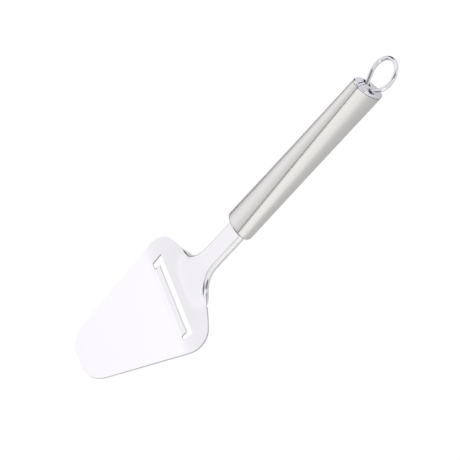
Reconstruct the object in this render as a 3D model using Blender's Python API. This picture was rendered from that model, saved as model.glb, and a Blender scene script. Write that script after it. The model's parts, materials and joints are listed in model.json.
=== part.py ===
"""Cheese slicer: a stamped steel blade on a hollow handle with a hanging loop. Metres, +Z up.

The blade is drawn flat with its tip at x = 0 and its upper face at z = 0. The handle has its own
frame, with x along its axis from its front end. The whole slicer then lies as it rests on a table:
on its cutting lip and on the lower edge of the handle's loop end.
"""

import math

import bmesh
import bpy
import numpy as np
from mathutils import Vector

# Blade blank, seen from above
SHEET = 0.0010
TIP_HALF_WIDTH = 0.0177
TIP_CORNER_RADIUS = 0.0190
SIDE_FLARE_DEG = 22.6
SHOULDER_CORNER_X = 0.0719
SHOULDER_RADIUS = 0.0108
BACK_EDGE_DEG = 71.0
NECK_HALF_WIDTH = 0.0080
NECK_FILLET_RADIUS = 0.0130

# Cutting slot and the lip in front of it
SLOT_REAR_X = 0.0666
SLOT_HALF_LENGTH = 0.0324
SLOT_GAP = 0.0029
LIP_LENGTH = 0.0038
LIP_DROP = 0.0018
LIP_END_NOTCH = 0.0054
NOTCH_CORNER_RADIUS = 0.0006
LIP_EDGE_SHARE = 0.3

# Raised neck with its edges bent and rolled down
NECK_PITCH_DEG = 16.6
NECK_BEND_X = 0.0614
RISE_LENGTH = 0.0250
WING_HALF_WIDTH = 0.0360
WING_TILT_DEG = 4.0
WING_BEND_START_X = 0.0570
FLANGE_BEND_RADIUS = 0.0018
FLANGE_BEND_DEG = 55.0
FLANGE_ROLL_RADIUS = 0.0046
FLANGE_ROLL_DEG = 35.0
FLANGE_START_HALF_WIDTH = 0.0240
FLANGE_GROWTH_LENGTH = 0.0100
NECK_REACH = 0.0584
TANG_LENGTH = 0.0240

# Handle tube, a wide oval closed round the neck and a tall oval at the loop
HANDLE_LENGTH = 0.1116
FRONT_OVAL_WIDTH = 0.0216
FRONT_OVAL_HEIGHT = 0.0148
REAR_OVAL_WIDTH = 0.0144
REAR_OVAL_HEIGHT = 0.0202
TUBE_WALL = 0.0008
FRONT_ROUND = 0.0022
AXIS_BELOW_NECK_TOP = 0.00165

# End cap and the core that grips the tang
END_CAP_LENGTH = 0.0012
END_CAP_ROUND = 0.0010
CAP_FACE = 0.0008
CAP_SKIRT = 0.0050
CAP_WALL = 0.0006
CORE_PAST_TANG = 0.0040
CORE_FROM_FRONT = 0.0060

# Hanging loop of round wire, and the bridge of the end cap that it hooks behind
WIRE_DIAMETER = 0.0025
LOOP_RADIUS = 0.0095
LOOP_CENTRE_REACH = 0.0107
LOOP_BEND_RADIUS = 0.0018
LOOP_BAR_HALF = 0.0010
LOOP_REST_DEG = 5.0
LOOP_SWING_DEG = 12.0

# Clearances
SEAT_GAP = 0.0003
SLOT_CLEARANCE = 0.0003

# Facet counts
OVAL_SIDES = 56
TUBE_STATIONS = 12
CORE_STATIONS = 4
ROUND_STEPS = 5
ARC_STEP_DEG = 9.0
BACK_EDGE_CUTS = 5
FLANGE_BEND_STEPS = 4
FLANGE_ROLL_STEPS = 3
PLATE_X_CUTS = 9
PLATE_Y_CUTS = 5
LIP_CUTS = 4
LOOP_BEND_POINTS = 7
LOOP_ARC_POINTS = 22
WIRE_BEVEL = 3
SHARP_DEG = 35.0
MERGE_DISTANCE = 1e-6

# Finishes
POLISHED_COLOUR = (0.86, 0.86, 0.88)
POLISHED_ROUGHNESS = 0.11
BRUSHED_COLOUR = (0.72, 0.71, 0.70)
BRUSHED_ROUGHNESS = 0.33
NYLON_COLOUR = (0.75, 0.74, 0.70)
NYLON_ROUGHNESS = 0.55

# Values worked out from the sizes above
PITCH = math.radians(NECK_PITCH_DEG)
WIRE_RADIUS = WIRE_DIAMETER / 2
LIP_EDGE_X = SLOT_REAR_X - SLOT_GAP
LIP_ROOT_X = LIP_EDGE_X - LIP_LENGTH
LIP_HALF_LENGTH = SLOT_HALF_LENGTH - LIP_END_NOTCH
RISE_END_X = SLOT_REAR_X + RISE_LENGTH
HANDLE_FRONT_X = NECK_BEND_X + NECK_REACH * math.cos(PITCH)
NECK_END_X = HANDLE_FRONT_X + TANG_LENGTH * math.cos(PITCH)
FLANGE_BEND = math.radians(FLANGE_BEND_DEG)
FLANGE_ROLL = math.radians(FLANGE_ROLL_DEG)
FLANGE_DEPTH = (FLANGE_BEND_RADIUS * (1 - math.cos(FLANGE_BEND))
                + FLANGE_ROLL_RADIUS * (math.cos(FLANGE_BEND) - math.cos(FLANGE_BEND + FLANGE_ROLL)))
BAR_DEPTH = CAP_FACE + SEAT_GAP + WIRE_RADIUS


def clear_scene():
    """Remove every object that the scene holds."""
    for old in list(bpy.data.objects):
        bpy.data.objects.remove(old, do_unlink=True)


def metal(name, colour, roughness, metallic=1.0):
    """A plain Principled material."""
    material = bpy.data.materials.new(name)
    material.use_nodes = True
    shader = material.node_tree.nodes["Principled BSDF"]
    shader.inputs["Base Color"].default_value = (*colour, 1.0)
    shader.inputs["Roughness"].default_value = roughness
    shader.inputs["Metallic"].default_value = metallic
    return material


def add_object(name, data, material=None, parent=None):
    """Put a mesh or curve into the scene as a named object."""
    item = bpy.data.objects.new(name, data)
    bpy.context.collection.objects.link(item)
    item.parent = parent
    if material:
        data.materials.append(material)
    return item


def shaded_mesh(name, bm):
    """Turn a bmesh into mesh data, shaded smooth up to a sharp angle."""
    mesh = bpy.data.meshes.new(name)
    bm.to_mesh(mesh)
    bm.free()
    mesh.shade_smooth()
    mesh.set_sharp_from_angle(angle=math.radians(SHARP_DEG))
    return mesh


def add_mesh(name, bm, material=None, parent=None):
    """Turn a closed bmesh into a named object that faces out."""
    bmesh.ops.recalc_face_normals(bm, faces=bm.faces)
    return add_object(name, shaded_mesh(name, bm), material, parent)


def add_empty(name, parent=None):
    """A frame for other objects to hang on."""
    empty = bpy.data.objects.new(name, None)
    bpy.context.collection.objects.link(empty)
    empty.parent = parent
    return empty


def subtract(target, cutter):
    """Cut one object out of another and leave the cutter as a hidden guide."""
    cutter.hide_render = True
    cutter.display_type = "WIRE"
    cut = target.modifiers.new("cut " + cutter.name, "BOOLEAN")
    cut.operation = "DIFFERENCE"
    cut.solver = "EXACT"
    cut.object = cutter


# Outlines

def rounded(corners, closed=False):
    """Points along a polyline whose corners, given as (x, y, radius), are turned into arcs."""
    count = len(corners)
    points = []
    for i, (x, y, radius) in enumerate(corners):
        here = Vector((x, y))
        at_end = not closed and i in (0, count - 1)
        if at_end or radius <= 0:
            points.append(here)
            continue
        before = (Vector(corners[i - 1][:2]) - here).normalized()
        after = (Vector(corners[(i + 1) % count][:2]) - here).normalized()
        half = before.angle(after) / 2
        middle = here + (before + after).normalized() * (radius / math.sin(half))
        start = here + before * (radius / math.tan(half)) - middle
        turn = math.pi - 2 * half
        steps = max(2, round(turn / math.radians(ARC_STEP_DEG)))
        side = -1 if before.x * after.y - before.y * after.x > 0 else 1
        for step in range(steps + 1):
            angle = side * turn * step / steps
            cos_a, sin_a = math.cos(angle), math.sin(angle)
            spoke = Vector((start.x * cos_a - start.y * sin_a, start.x * sin_a + start.y * cos_a))
            points.append(middle + spoke)
    return points


def back_edge_x(y):
    """Where the blade's back edge lies at a distance y from the axis."""
    corner_y = TIP_HALF_WIDTH + SHOULDER_CORNER_X * math.tan(math.radians(SIDE_FLARE_DEG))
    return SHOULDER_CORNER_X + (corner_y - y) / math.tan(math.radians(BACK_EDGE_DEG))


def front_outline():
    """Half of the blade's edge, from the tip's middle round the shoulder to the turned edge."""
    corner_y = TIP_HALF_WIDTH + SHOULDER_CORNER_X * math.tan(math.radians(SIDE_FLARE_DEG))
    return rounded([
        (0.0, 0.0, 0.0),
        (0.0, TIP_HALF_WIDTH, TIP_CORNER_RADIUS),
        (SHOULDER_CORNER_X, corner_y, SHOULDER_RADIUS),
        (back_edge_x(FLANGE_START_HALF_WIDTH), FLANGE_START_HALF_WIDTH, 0.0),
    ])


def back_outline():
    """Half of the turned edge, from the shoulder through the fillet and along the neck."""
    fillet_start = NECK_HALF_WIDTH + NECK_FILLET_RADIUS * (1 - math.cos(math.radians(BACK_EDGE_DEG)))
    straight = np.linspace(FLANGE_START_HALF_WIDTH, fillet_start, BACK_EDGE_CUTS + 1)[:-1]
    return rounded([(back_edge_x(y), y, 0.0) for y in straight] + [
        (back_edge_x(NECK_HALF_WIDTH), NECK_HALF_WIDTH, NECK_FILLET_RADIUS),
        (NECK_END_X, NECK_HALF_WIDTH, 0.0),
    ])


def slot_outline():
    """The cutting slot with the notches that free the ends of its lip."""
    half = [
        (SLOT_REAR_X, SLOT_HALF_LENGTH, NOTCH_CORNER_RADIUS),
        (LIP_ROOT_X, SLOT_HALF_LENGTH, NOTCH_CORNER_RADIUS),
        (LIP_ROOT_X, LIP_HALF_LENGTH, 0.0),
        (LIP_EDGE_X, LIP_HALF_LENGTH, 0.0),
    ]
    other = [(x, -y, radius) for x, y, radius in reversed(half)]
    return rounded(half + other, closed=True)


# Heights of the pressed sheet

def smooth_step(value, low, high):
    """0 below low, 1 above high, and a smooth change between."""
    share = min(1.0, max(0.0, (value - low) / (high - low)))
    return share * share * (3 - 2 * share)


def wing_height(x):
    """Height of the sheet's upper face at the shoulders, which are bent up a little behind the slot."""
    slope = math.tan(math.radians(WING_TILT_DEG))
    bend_length = SLOT_REAR_X - WING_BEND_START_X
    past = max(0.0, x - WING_BEND_START_X)
    if past < bend_length:
        return slope * past * past / (2 * bend_length)
    return slope * (past - bend_length / 2)


def neck_height(x):
    """Height of the sheet's upper face on the centre line, behind the slot."""
    if x >= RISE_END_X:
        return (x - NECK_BEND_X) * math.tan(PITCH)
    share = (x - SLOT_REAR_X) / RISE_LENGTH
    rise = (RISE_END_X - NECK_BEND_X) * math.tan(PITCH) - wing_height(RISE_END_X)
    end_slope = (math.tan(PITCH) - math.tan(math.radians(WING_TILT_DEG))) * RISE_LENGTH
    return wing_height(x) + share * share * ((3 - 2 * share) * rise + (share - 1) * end_slope)


def sheet_height(x, y):
    """Height of the sheet's upper face: flat blade, dropped lip, tilted wings, rib and neck."""
    wing = wing_height(x)
    if x > SLOT_REAR_X:
        fade = smooth_step(abs(y), NECK_HALF_WIDTH, WING_HALF_WIDTH)
        return neck_height(x) * (1 - fade) + wing * fade
    lip_long = LIP_ROOT_X < x < LIP_EDGE_X + SLOT_GAP / 2
    lip_wide = abs(y) < LIP_HALF_LENGTH + LIP_END_NOTCH / 2
    if lip_long and lip_wide:
        return wing - LIP_DROP * ((x - LIP_ROOT_X) / LIP_LENGTH) ** 2
    return wing


# Turned-down edge

def side_of(start, end):
    """The outward side of a stretch of the turned edge."""
    along = (end - start).normalized()
    return Vector((-along.y, along.x))


def nearest_on(path, point):
    """How far along a path the place nearest to a point lies, and the path's outward side there."""
    sides = [side_of(a, b) for a, b in zip(path, path[1:])]
    corners = [sides[0]] + [(a + b).normalized() for a, b in zip(sides, sides[1:])] + [sides[-1]]
    best = None
    walked = 0.0
    for i, (start, end) in enumerate(zip(path, path[1:])):
        along = end - start
        share = min(1.0, max(0.0, (point - start).dot(along) / along.length_squared))
        miss = (start + along * share - point).length
        if best is None or miss < best[0]:
            best = (miss, walked + along.length * share, corners[i].lerp(corners[i + 1], share))
        walked += along.length
    return best[1], best[2].normalized()


def flange_profile(walked):
    """Points (outward, down) from the bend line over the turned edge, at a distance along its path."""
    left = 1 - min(1.0, walked / FLANGE_GROWTH_LENGTH)
    share = 1 - left * left
    steps = [(FLANGE_BEND_RADIUS, FLANGE_BEND / FLANGE_BEND_STEPS)] * FLANGE_BEND_STEPS
    steps += [(FLANGE_ROLL_RADIUS, FLANGE_ROLL / FLANGE_ROLL_STEPS)] * FLANGE_ROLL_STEPS
    points = []
    outward = down = turned = 0.0
    for radius, angle in steps:
        chord = 2 * radius * share * math.sin(angle / 2)
        outward += chord * math.cos(turned + angle / 2)
        down += chord * math.sin(turned + angle / 2)
        turned += angle
        points.append((outward, down))
    return points


def turned_edge(path):
    """The bend line: the edge's path drawn in by as much as the turned edge reaches out."""
    line = []
    for point in path:
        walked, outward = nearest_on(path, point)
        line.append(point - outward * flange_profile(walked)[-1][0])
    return line


def flange_rows(point, path):
    """Steps from the bend line over the turned edge, with one side's path."""
    walked, outward = nearest_on(path, point)
    slope = (sheet_height(point.x + SHEET, point.y) - sheet_height(point.x, point.y)) / SHEET
    down = Vector((slope, 0.0, -1.0)).normalized()
    out = Vector((outward.x, outward.y, slope * outward.x)).normalized()
    return [out * reach + down * depth for reach, depth in flange_profile(walked)]


def mirrored(point):
    """A plan point on the other side of the blade."""
    return Vector((point.x, -point.y))


def add_loop(bm, points):
    """A closed loop of edges in the plan."""
    verts = [bm.verts.new((p.x, p.y, 0.0)) for p in points]
    return [bm.edges.new((a, b)) for a, b in zip(verts, verts[1:] + verts[:1])]


def cut_plate(bm):
    """Cut the flat plate along lines, so that it can be pressed into shape."""
    x_lines = list(np.linspace(SLOT_REAR_X, RISE_END_X, PLATE_X_CUTS + 1)[1:])
    x_lines += list(np.linspace(LIP_ROOT_X, LIP_EDGE_X, LIP_CUTS + 1)[:-1])
    x_lines += list(np.linspace(WING_BEND_START_X, LIP_ROOT_X, LIP_CUTS)[:-1])
    y_lines = np.linspace(NECK_HALF_WIDTH, WING_HALF_WIDTH, PLATE_Y_CUTS)
    planes = [((x, 0, 0), (1, 0, 0)) for x in x_lines]
    planes += [((0, side * y, 0), (0, 1, 0)) for y in y_lines for side in (-1, 1)]
    for place, normal in planes:
        bmesh.ops.bisect_plane(bm, geom=bm.verts[:] + bm.edges[:] + bm.faces[:],
                               dist=MERGE_DISTANCE, plane_co=place, plane_no=normal)


def add_flange(bm, path, side):
    """Turn down the plate's edge along one side's path."""
    bend = turned_edge(path)

    def on_bend(vert):
        """Whether a vertex of the plate lies on this side's bend line."""
        flat = Vector((vert.co.x, vert.co.y * side))
        return min(distance_to(flat, a, b) for a, b in zip(bend, bend[1:])) < MERGE_DISTANCE

    edges = [e for e in bm.edges if e.is_boundary and all(on_bend(v) for v in e.verts)]
    columns = {}
    for vert in {v for e in edges for v in e.verts}:
        flat = Vector((vert.co.x, vert.co.y * side))
        base = Vector((flat.x, flat.y, sheet_height(flat.x, flat.y)))
        column = [vert]
        for offset in flange_rows(flat, path):
            spot = base + offset
            column.append(bm.verts.new((spot.x, spot.y * side, spot.z)))
        columns[vert] = column
    for edge in edges:
        left, right = (columns[v] for v in edge.verts)
        for row in range(FLANGE_BEND_STEPS + FLANGE_ROLL_STEPS):
            bm.faces.new((left[row], right[row], right[row + 1], left[row + 1]))


def distance_to(point, start, end):
    """How far a plan point lies from a stretch of a line."""
    along = end - start
    share = min(1.0, max(0.0, (point - start).dot(along) / along.length_squared))
    return (start + along * share - point).length


def make_blade(parent):
    """The blade, its lip, the neck and the tang: one pressed sheet."""
    bm = bmesh.new()
    path = back_outline()
    half = front_outline() + turned_edge(path)[1:]
    rim = half + [mirrored(p) for p in reversed(half[1:])]
    edges = add_loop(bm, rim) + add_loop(bm, slot_outline())
    bmesh.ops.triangle_fill(bm, edges=edges, use_beauty=True)
    cut_plate(bm)
    plate = bm.verts[:]
    for side in (1, -1):
        add_flange(bm, path, side)
    for vert in plate:
        vert.co.z = sheet_height(vert.co.x, vert.co.y)
    bmesh.ops.remove_doubles(bm, verts=bm.verts[:], dist=MERGE_DISTANCE)
    bmesh.ops.dissolve_degenerate(bm, edges=bm.edges[:], dist=MERGE_DISTANCE)
    bmesh.ops.recalc_face_normals(bm, faces=bm.faces)
    if sum(face.normal.z for face in bm.faces) < 0:
        bmesh.ops.reverse_faces(bm, faces=bm.faces)
    mesh = shaded_mesh("blade", bm)
    finish = metal("polished blade steel", POLISHED_COLOUR, POLISHED_ROUGHNESS)
    blade = add_object("blade", mesh, finish, parent)

    body = blade.vertex_groups.new(name="full sheet")
    edge_height = wing_height(LIP_EDGE_X) - LIP_DROP + MERGE_DISTANCE
    for vert in mesh.vertices:
        sharpened = vert.co.z < edge_height and vert.co.x < SLOT_REAR_X
        body.add([vert.index], 0.0 if sharpened else 1.0, "REPLACE")
    sheet = blade.modifiers.new("sheet", "SOLIDIFY")
    sheet.thickness = SHEET
    sheet.offset = -1.0
    sheet.use_even_offset = True
    sheet.vertex_group = body.name
    sheet.thickness_vertex_group = LIP_EDGE_SHARE
    return blade


# Handle

def oval_at(x, inset=0.0):
    """Half width and half height of the handle at a distance from its front end, drawn in."""
    share = x / HANDLE_LENGTH
    half_width = (FRONT_OVAL_WIDTH + (REAR_OVAL_WIDTH - FRONT_OVAL_WIDTH) * share) / 2
    half_height = (FRONT_OVAL_HEIGHT + (REAR_OVAL_HEIGHT - FRONT_OVAL_HEIGHT) * share) / 2
    return half_width - inset, half_height - inset


def oval_loft(bm, stations):
    """Join ovals, given as (x, inset), into a closed skin."""
    loops = []
    for x, inset in stations:
        half_width, half_height = oval_at(x, inset)
        angles = np.linspace(0, 2 * math.pi, OVAL_SIDES, endpoint=False)
        loops.append([bm.verts.new((x, half_width * math.sin(a), half_height * math.cos(a)))
                      for a in angles])
    for one, two in zip(loops, loops[1:]):
        for i in range(OVAL_SIDES):
            j = (i + 1) % OVAL_SIDES
            bm.faces.new((one[i], one[j], two[j], two[i]))
    bm.faces.new(loops[0])
    bm.faces.new(loops[-1])


def round_stations(face_x, inward, edge_round):
    """Stations over a round edge, from a flat end of the handle to its side."""
    stations = []
    for angle in np.linspace(0.0, math.pi / 2, ROUND_STEPS + 1):
        depth = edge_round * (1 - math.cos(angle))
        stations.append((face_x + inward * depth, edge_round * (1 - math.sin(angle))))
    return stations


def box_cutter(name, low, high, parent):
    """A box between two corners, to cut with."""
    bm = bmesh.new()
    bmesh.ops.create_cube(bm, size=1.0)
    low, high = Vector(low), Vector(high)
    bmesh.ops.scale(bm, vec=high - low, verts=bm.verts)
    bmesh.ops.translate(bm, vec=(low + high) / 2, verts=bm.verts)
    return add_mesh(name, bm, parent=parent)


def tang_space(name, start, end, parent):
    """A cutter that clears the neck's channel between two places along the handle."""
    half_width = NECK_HALF_WIDTH + SEAT_GAP
    top = AXIS_BELOW_NECK_TOP + SEAT_GAP
    bottom = AXIS_BELOW_NECK_TOP - FLANGE_DEPTH - SEAT_GAP
    return box_cutter(name, (start, -half_width, bottom), (end, half_width, top), parent)


def make_tube(parent):
    """The hollow handle: closed round the neck at the blade, open for its cap at the loop."""
    end = HANDLE_LENGTH - END_CAP_LENGTH - SEAT_GAP
    outside = round_stations(0.0, 1.0, FRONT_ROUND)
    outside += [(x, 0.0) for x in np.linspace(FRONT_ROUND, end, TUBE_STATIONS)[1:]]
    inner_round = FRONT_ROUND - TUBE_WALL
    inside = [(x, inset + TUBE_WALL) for x, inset in round_stations(TUBE_WALL, 1.0, inner_round)]
    inside += [(x, TUBE_WALL) for x in np.linspace(FRONT_ROUND, end, TUBE_STATIONS)[1:]]
    bm = bmesh.new()
    oval_loft(bm, outside + inside[::-1])
    finish = metal("brushed handle steel", BRUSHED_COLOUR, BRUSHED_ROUGHNESS)
    tube = add_mesh("handle_tube", bm, finish, parent)
    subtract(tube, tang_space("neck_hole", -TUBE_WALL, FRONT_ROUND, parent))
    return tube


def make_core(parent):
    """The moulded core inside the tube, which holds the tang."""
    start = CORE_FROM_FRONT
    end = TANG_LENGTH + CORE_PAST_TANG
    inset = TUBE_WALL + SEAT_GAP
    bm = bmesh.new()
    oval_loft(bm, [(x, inset) for x in np.linspace(start, end, CORE_STATIONS)])
    finish = metal("moulded nylon", NYLON_COLOUR, NYLON_ROUGHNESS, metallic=0.0)
    core = add_mesh("tang_core", bm, finish, parent)
    subtract(core, tang_space("core_hole", start - SEAT_GAP, TANG_LENGTH + SEAT_GAP, parent))
    return core


# Loop end

def leg_tangent():
    """Where one leg of the loop leaves its inner bend and where it joins the large arc."""
    small = Vector((LOOP_BEND_RADIUS - BAR_DEPTH, LOOP_BAR_HALF))
    large = Vector((LOOP_CENTRE_REACH, 0.0))
    along = (large - small).normalized()
    across = Vector((-along.y, along.x))
    lean = (LOOP_BEND_RADIUS - LOOP_RADIUS) / (large - small).length
    normal = along * lean + across * math.sqrt(1 - lean * lean)
    return small, large, normal


def loop_path():
    """Centre line of the loop in the handle's flat plane, with the cap's face at x = 0."""
    small, large, normal = leg_tangent()
    edge = math.atan2(normal.y, normal.x)
    half = []
    for angle in np.linspace(math.pi, edge, LOOP_BEND_POINTS):
        half.append(small + LOOP_BEND_RADIUS * Vector((math.cos(angle), math.sin(angle))))
    for angle in np.linspace(edge, 0.0, LOOP_ARC_POINTS):
        half.append(large + LOOP_RADIUS * Vector((math.cos(angle), math.sin(angle))))
    return half + [mirrored(p) for p in reversed(half[:-1])]


def leg_edges(x):
    """Distances from the axis of the inner and outer side of a leg where it crosses a plane."""
    small, large, normal = leg_tangent()
    low = small + normal * LOOP_BEND_RADIUS
    high = large + normal * LOOP_RADIUS
    middle = low.y + (high.y - low.y) * (x - low.x) / (high.x - low.x)
    half = WIRE_RADIUS / normal.y
    return middle - half, middle + half


def make_end_cap(parent):
    """The polished cap at the loop's end: a round-edged face with a slot each side of its bridge,
    and a skirt that plugs into the tube."""
    rim_x = HANDLE_LENGTH - END_CAP_LENGTH
    skirt_x = rim_x - CAP_SKIRT
    skirt_out = TUBE_WALL + SEAT_GAP
    inside = skirt_out + CAP_WALL
    stations = round_stations(HANDLE_LENGTH, -1.0, END_CAP_ROUND)
    stations += [(rim_x, 0.0), (rim_x, skirt_out), (skirt_x, skirt_out), (skirt_x, inside),
                 (HANDLE_LENGTH - CAP_FACE, inside)]
    bm = bmesh.new()
    oval_loft(bm, stations)
    finish = metal("polished cap steel", POLISHED_COLOUR, POLISHED_ROUGHNESS)
    cap = add_mesh("end_cap", bm, finish, parent)
    swing = math.radians(LOOP_SWING_DEG)
    reach = BAR_DEPTH * math.tan(swing) + WIRE_RADIUS / math.cos(swing) + SLOT_CLEARANCE
    inner = leg_edges(-CAP_FACE)[0] - SLOT_CLEARANCE
    outer = leg_edges(0.0)[1] + SLOT_CLEARANCE
    for side, label in ((1, "left"), (-1, "right")):
        ends = sorted((side * inner, side * outer))
        subtract(cap, box_cutter("loop_slot_" + label,
                                 (HANDLE_LENGTH - 2 * CAP_FACE, ends[0], -reach),
                                 (HANDLE_LENGTH + CAP_FACE, ends[1], reach), parent))
    return cap


def make_loop(parent):
    """The closed wire loop, hung on a frame that lies on its swing axis."""
    axis = add_empty("loop_axis", parent)
    axis.location = (HANDLE_LENGTH - BAR_DEPTH, 0.0, 0.0)
    axis.rotation_euler = (0.0, math.radians(LOOP_REST_DEG), 0.0)
    wire = bpy.data.curves.new("hanging_loop", "CURVE")
    wire.dimensions = "3D"
    wire.bevel_depth = WIRE_RADIUS
    wire.bevel_resolution = WIRE_BEVEL
    path = loop_path()
    spline = wire.splines.new("POLY")
    spline.points.add(len(path) - 1)
    for spot, point in zip(spline.points, path):
        spot.co = (point.x + BAR_DEPTH, point.y, 0.0, 1.0)
    spline.use_cyclic_u = True
    spline.use_smooth = True
    finish = metal("polished wire", POLISHED_COLOUR, POLISHED_ROUGHNESS)
    return add_object("hanging_loop", wire, finish, axis)


# Resting pose

def world_points(item):
    """Corners of an object's finished mesh, in the world."""
    graph = bpy.context.evaluated_depsgraph_get()
    finished = item.evaluated_get(graph)
    mesh = finished.to_mesh()
    points = np.array([item.matrix_world @ v.co for v in mesh.vertices])
    finished.to_mesh_clear()
    return points


def rest_on_table(root, blade, handle_pieces, pieces):
    """Tip the slicer on to its lip and its loop end, and centre it over the origin."""
    bpy.context.view_layer.update()
    front = world_points(blade)
    front = front[front[:, 0] < SLOT_REAR_X]
    rear = np.vstack([world_points(piece) for piece in handle_pieces])
    rear = rear[rear[:, 0] > rear[:, 0].mean()]
    slopes = (rear[:, None, 2] - front[None, :, 2]) / (rear[:, None, 0] - front[None, :, 0])
    root.rotation_euler = (0.0, math.atan(slopes.max(axis=1).min()), 0.0)
    bpy.context.view_layer.update()
    points = np.vstack([world_points(piece) for piece in pieces])
    low, high = points.min(axis=0), points.max(axis=0)
    root.location = (-(low[0] + high[0]) / 2, -(low[1] + high[1]) / 2, -low[2])
    bpy.context.view_layer.update()


def main():
    """Build the slicer."""
    clear_scene()
    root = add_empty("slicer")
    handle = add_empty("handle_frame", root)
    handle.rotation_euler = (0.0, -PITCH, 0.0)
    handle.location = (
        HANDLE_FRONT_X + AXIS_BELOW_NECK_TOP * math.sin(PITCH),
        0.0,
        NECK_REACH * math.sin(PITCH) - AXIS_BELOW_NECK_TOP * math.cos(PITCH),
    )
    blade = make_blade(root)
    tube = make_tube(handle)
    core = make_core(handle)
    end_cap = make_end_cap(handle)
    loop = make_loop(handle)
    rest_on_table(root, blade, [tube, end_cap], [blade, tube, core, end_cap, loop])


main()
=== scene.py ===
"""A cheese slicer: a polished stamped blade on a hollow brushed handle with a wire hanging loop.

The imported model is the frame. Each piece is drawn in millimetres in its own frame, the blade's, the
handle's or the loop's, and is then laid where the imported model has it.
"""

import json
import logging
import math
from dataclasses import dataclass, field
from enum import Enum
from typing import Any

import bmesh
import bpy
from bmesh.types import BMEdge, BMesh, BMVert
from bpy.types import BevelModifier, Material, Node, NodeSocket, NodeTree, Object, World
from mathutils import Matrix, Vector

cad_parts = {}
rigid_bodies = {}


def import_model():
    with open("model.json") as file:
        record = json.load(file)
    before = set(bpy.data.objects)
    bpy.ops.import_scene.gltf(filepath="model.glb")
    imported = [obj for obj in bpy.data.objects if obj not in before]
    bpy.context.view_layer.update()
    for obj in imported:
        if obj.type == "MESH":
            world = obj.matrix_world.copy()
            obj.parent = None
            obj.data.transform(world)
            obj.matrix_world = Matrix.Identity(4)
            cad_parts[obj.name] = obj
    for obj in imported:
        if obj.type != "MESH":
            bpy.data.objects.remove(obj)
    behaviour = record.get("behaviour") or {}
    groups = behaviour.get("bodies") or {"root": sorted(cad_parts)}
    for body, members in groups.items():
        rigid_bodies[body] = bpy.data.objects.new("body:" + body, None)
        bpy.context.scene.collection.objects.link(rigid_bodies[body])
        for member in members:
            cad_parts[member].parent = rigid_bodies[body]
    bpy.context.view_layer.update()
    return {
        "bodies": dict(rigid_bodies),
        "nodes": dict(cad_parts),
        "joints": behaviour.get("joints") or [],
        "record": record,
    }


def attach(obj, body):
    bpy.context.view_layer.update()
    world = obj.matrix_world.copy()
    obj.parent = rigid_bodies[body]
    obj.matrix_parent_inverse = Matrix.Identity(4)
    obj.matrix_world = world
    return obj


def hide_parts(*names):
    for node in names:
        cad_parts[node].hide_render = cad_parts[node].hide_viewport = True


Colour = tuple[float, float, float, float]
Triple = tuple[float, float, float]
Station = tuple[float, float]

LOG = logging.getLogger("cheese_slicer")
MM = 0.001
MERGE = 1e-4

# Edges that turn more than this are rounded, with so many faces
ROUNDED_EDGE_DEG = 50.0
ROUNDED_EDGE_FACES = 2

# Place of the cut edges' finish, with its painted shade, among the blade's materials
CUT_EDGE_SLOT = 1

# UV map that runs along and around the handle
BRUSHING_MAP = "brushing"

# Where most values of a noise lie
NOISE_LOW = 0.3
NOISE_HIGH = 0.7


# Nodes and colours


def linear_colour(code: str) -> Colour:
    """Turn an sRGB hex colour into linear light.

    Args:
        code: six hex digits, red first.

    Returns:
        Linear red, green, blue and a full alpha.
    """
    shares = [int(code[i:i + 2], 16) / 255 for i in (0, 2, 4)]
    light = [s / 12.92 if s <= 0.04045 else ((s + 0.055) / 1.055) ** 2.4 for s in shares]
    return (light[0], light[1], light[2], 1.0)


def add_node(tree: NodeTree, kind: str, terms: dict[Any, Any] | None = None, **settings: Any) -> Node:
    """Add a node with its settings and what goes into its sockets.

    Args:
        tree: the node tree to add to.
        kind: the node's type name.
        terms: values, or other nodes' output sockets, by socket name or number.
        settings: properties of the node.

    Returns:
        The new node.
    """
    node = tree.nodes.new(kind)
    for name, setting in settings.items():
        setattr(node, name, setting)
    for name, term in (terms or {}).items():
        if isinstance(term, NodeSocket):
            tree.links.new(term, node.inputs[name])
        else:
            node.inputs[name].default_value = term
    return node


def cleared_tree(owner: Material | World) -> NodeTree:
    """Turn on the nodes of a material or a world, and clear them.

    Args:
        owner: the material or world.

    Returns:
        Its empty node tree.
    """
    owner.use_nodes = True
    owner.node_tree.nodes.clear()
    return owner.node_tree


def new_surface(name: str) -> tuple[Material, NodeTree, Node]:
    """Start a material.

    Args:
        name: the material's name.

    Returns:
        The material, its node tree and its shader.
    """
    material = bpy.data.materials.new(name)
    material.use_nodes = True
    return material, material.node_tree, material.node_tree.nodes["Principled BSDF"]


# Finishes


class Grain(Enum):
    """Which way the lines of a worked metal run."""

    NONE = "none"
    AROUND = "around"
    ACROSS = "across"


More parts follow.
